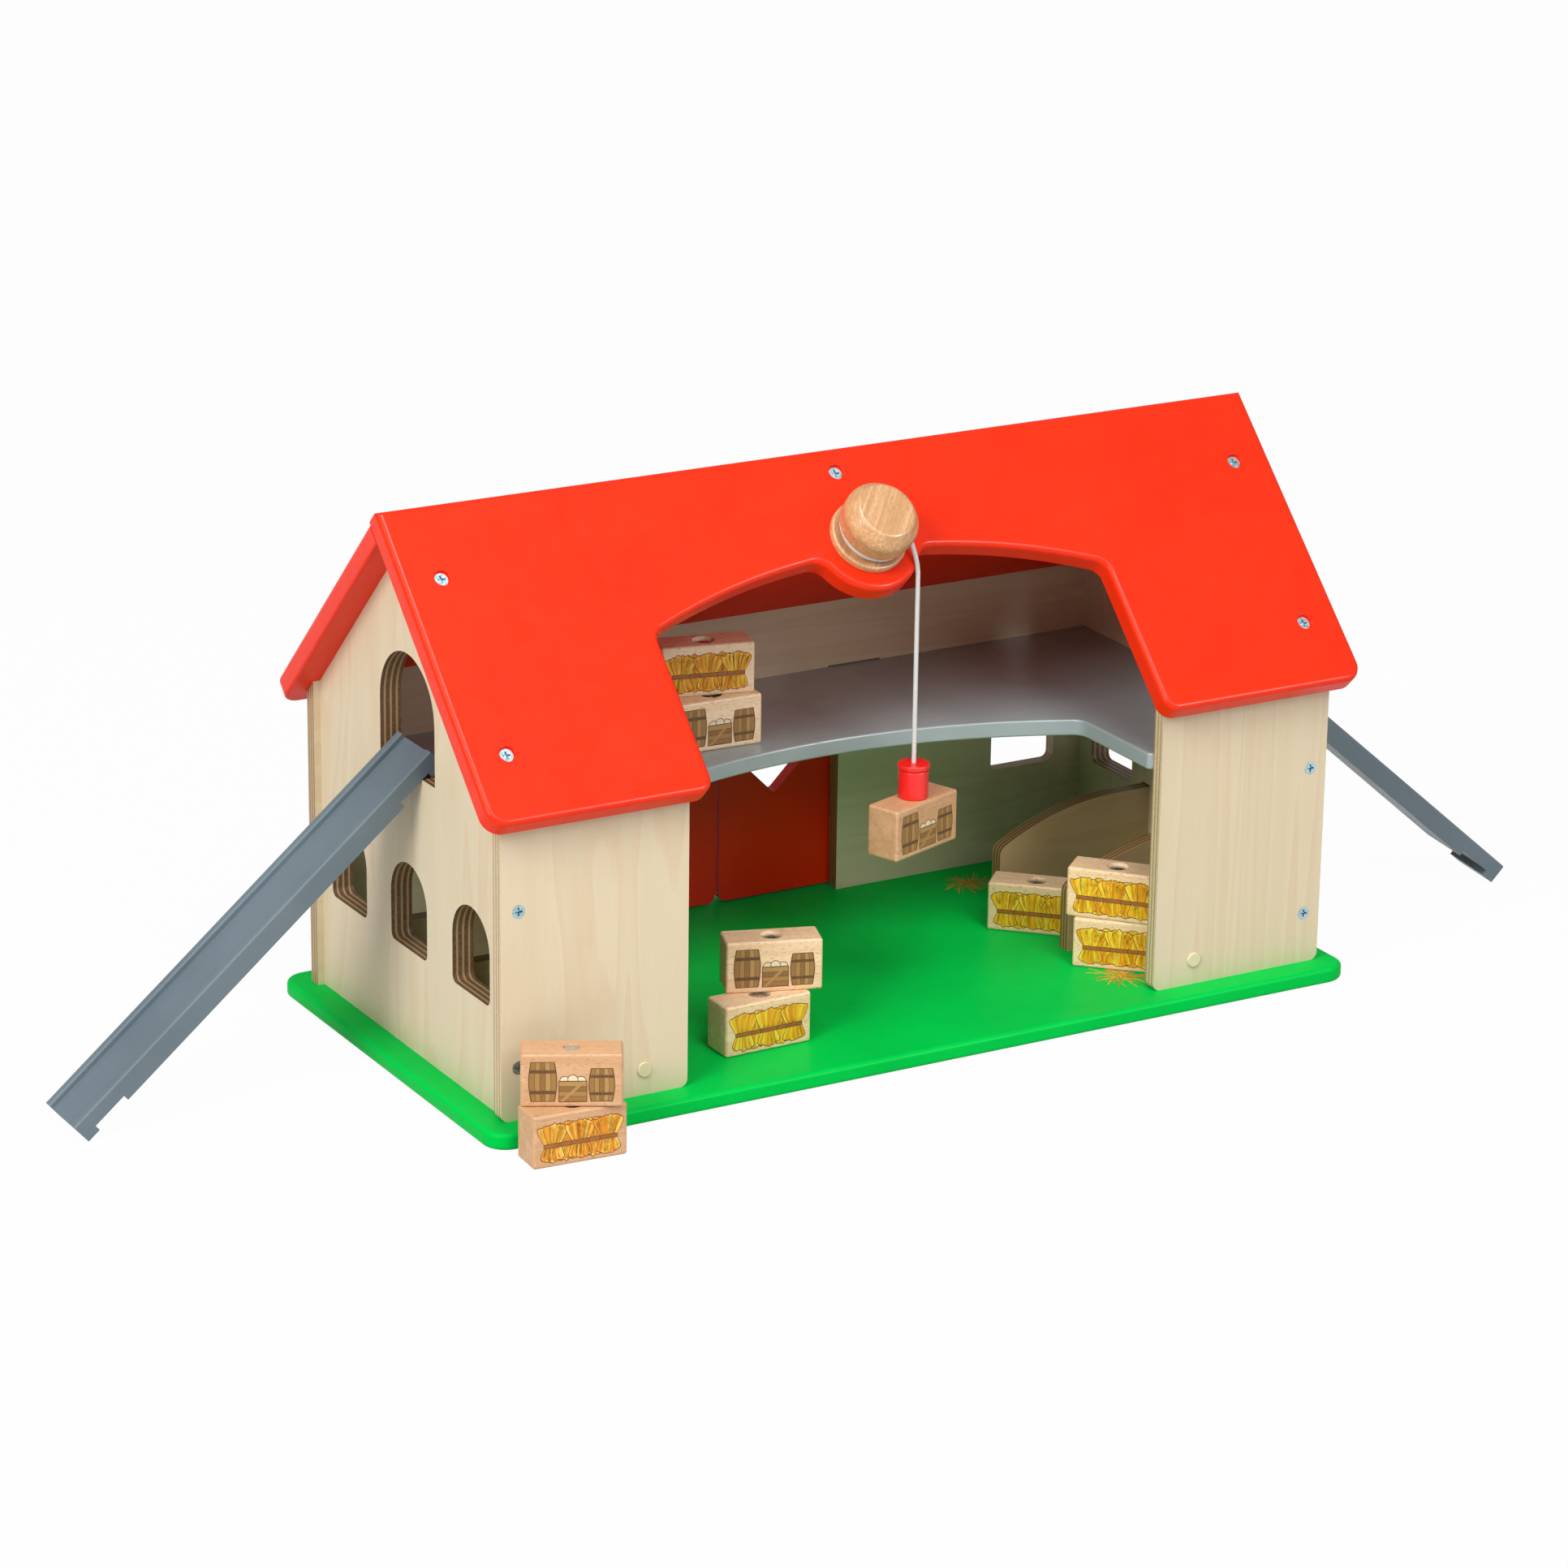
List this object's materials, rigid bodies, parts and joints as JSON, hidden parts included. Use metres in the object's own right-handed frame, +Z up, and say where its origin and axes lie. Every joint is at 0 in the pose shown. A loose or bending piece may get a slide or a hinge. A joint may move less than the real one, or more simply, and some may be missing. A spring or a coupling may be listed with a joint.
{
  "type": "toy stable",
  "caption": "Wooden toy stable with a gabled roof cut open at the front, a cord winch with a magnetic grab, a loft, stalls, back doors, two ramps and loose bale blocks.",
  "frame": {"origin": "centre of the base board's underside", "axes": "+X to the right along the ridge, +Y to the back with the doors, +Z up"},
  "size_m": [0.872, 0.289, 0.2987],
  "materials": {
    "green_lacquered_board": "satin lacquer on fibreboard",
    "red_lacquered_wood": "gloss lacquer",
    "grey_lacquered_board": "satin lacquer",
    "grey_lacquered_wood": "satin lacquer",
    "birch_plywood": "clear lacquer",
    "beech": "clear oil",
    "polished_steel": "polished",
    "zinc_plated_steel": "bright zinc",
    "white_cord": "braided",
    "red_plastic": "gloss",
    "cream_plastic": "matte"
  },
  "bodies": {
    "house": {"back_roof": "red_lacquered_wood", "back_wall": "birch_plywood", "base_board": "green_lacquered_board", "base_screws": "zinc_plated_steel", "cleat_screws": "zinc_plated_steel", "door_header": "birch_plywood", "front_left_panel": "birch_plywood", "front_right_panel": "birch_plywood", "front_roof": "red_lacquered_wood", "left_end_wall": "birch_plywood", "left_front_divider": "birch_plywood", "left_panel_cleat": "birch_plywood", "left_rear_divider": "birch_plywood", "lift_cord": "white_cord", "loft_floor": "grey_lacquered_board", "ridge_cleat": "birch_plywood", "right_end_wall": "birch_plywood", "right_front_divider": "birch_plywood", "right_panel_cleat": "birch_plywood", "right_rear_divider": "birch_plywood", "roof_screws": "zinc_plated_steel", "screw_caps": "cream_plastic", "wall_screws": "zinc_plated_steel"},
    "yard_lower_block_body": {"yard_lower_block": "beech", "yard_lower_insert": "polished_steel"},
    "yard_upper_block_body": {"yard_upper_block": "beech", "yard_upper_insert": "polished_steel"},
    "front_lower_block_body": {"front_lower_block": "beech", "front_lower_insert": "polished_steel"},
    "front_upper_block_body": {"front_upper_block": "beech", "front_upper_insert": "polished_steel"},
    "stall_block_body": {"stall_block": "beech", "stall_insert": "polished_steel"},
    "corner_lower_block_body": {"corner_lower_block": "beech", "corner_lower_insert": "polished_steel"},
    "corner_upper_block_body": {"corner_upper_block": "beech", "corner_upper_insert": "polished_steel"},
    "loft_lower_block_body": {"loft_lower_block": "beech", "loft_lower_insert": "polished_steel"},
    "loft_upper_block_body": {"loft_upper_block": "beech", "loft_upper_insert": "polished_steel"},
    "hoist_block_body": {"hoist_block": "beech", "hoist_insert": "polished_steel"},
    "winch": {"winch_spool": "beech", "winch_spindle": "zinc_plated_steel", "winch_washers": "zinc_plated_steel", "winch_nut": "zinc_plated_steel", "cord_winding": "white_cord"},
    "hoist": {"magnet_holder": "red_plastic", "holder_cap": "red_plastic", "holder_magnet": "zinc_plated_steel", "cord_knot": "white_cord"},
    "left_door_leaf": {"left_door": "red_lacquered_wood", "left_door_pins": "zinc_plated_steel"},
    "left_ramp_body": {"left_ramp": "grey_lacquered_wood"},
    "right_door_leaf": {"right_door": "red_lacquered_wood", "right_door_pins": "zinc_plated_steel"},
    "right_ramp_body": {"right_ramp": "grey_lacquered_wood"}
  },
  "joints": [
    {"name": "left_door_hinge", "type": "hinge", "parent": "house", "child": "left_door_leaf", "pos_m": [-0.08, 0.117, 0.065], "axis": [0, 0, 1], "range_deg": [0, 110]},
    {"name": "right_door_hinge", "type": "hinge", "parent": "house", "child": "right_door_leaf", "pos_m": [0.08, 0.117, 0.065], "axis": [0, 0, -1], "range_deg": [0, 110]},
    {"name": "hoist_lift", "type": "slide", "parent": "house", "child": "hoist", "axis": [0, 0, 1], "range_m": [-0.08, 0.075], "deforming": ["lift_cord"]},
    {"name": "winch_turn", "type": "hinge", "parent": "house", "child": "winch", "pos_m": [0.002, -0.03889, 0.26111], "axis": [0, -0.7071, 0.7071], "range_deg": [-268, 252]},
    {"name": "hoist_block_release", "type": "slide", "parent": "hoist", "child": "hoist_block_body", "axis": [0.3486, -0.9373, 0], "range_m": [0, 0.03]},
    {"name": "yard_lower_lift", "type": "slide", "parent": "house", "child": "yard_lower_block_body", "axis": [0, 0, 1], "range_m": [0, 0.04]},
    {"name": "yard_upper_lift", "type": "slide", "parent": "yard_lower_block_body", "child": "yard_upper_block_body", "axis": [0, 0, 1], "range_m": [0, 0.05]},
    {"name": "front_lower_lift", "type": "slide", "parent": "house", "child": "front_lower_block_body", "axis": [0, 0, 1], "range_m": [0, 0.05]},
    {"name": "front_upper_lift", "type": "slide", "parent": "front_lower_block_body", "child": "front_upper_block_body", "axis": [0, 0, 1], "range_m": [0, 0.05]},
    {"name": "stall_lift", "type": "slide", "parent": "house", "child": "stall_block_body", "axis": [0, 0, 1], "range_m": [0, 0.05]},
    {"name": "corner_lower_lift", "type": "slide", "parent": "house", "child": "corner_lower_block_body", "axis": [0, 0, 1], "range_m": [0, 0.03]},
    {"name": "corner_upper_lift", "type": "slide", "parent": "corner_lower_block_body", "child": "corner_upper_block_body", "axis": [0, 0, 1], "range_m": [0, 0.03]},
    {"name": "loft_lower_lift", "type": "slide", "parent": "house", "child": "loft_lower_block_body", "axis": [0, 0, 1], "range_m": [0, 0.02]},
    {"name": "loft_upper_lift", "type": "slide", "parent": "loft_lower_block_body", "child": "loft_upper_block_body", "axis": [0, 0, 1], "range_m": [0, 0.02]},
    {"name": "left_ramp_lift", "type": "slide", "parent": "house", "child": "left_ramp_body", "axis": [-0.6441, 0, 0.7649], "range_m": [0, 0.06]},
    {"name": "right_ramp_lift", "type": "slide", "parent": "house", "child": "right_ramp_body", "axis": [0.6531, -0.086, 0.7524], "range_m": [0, 0.06]}
  ],
  "couplings": [
    {"joint": "winch_turn", "follows": "hoist_lift", "rad_per_m": 57.307}
  ]
}
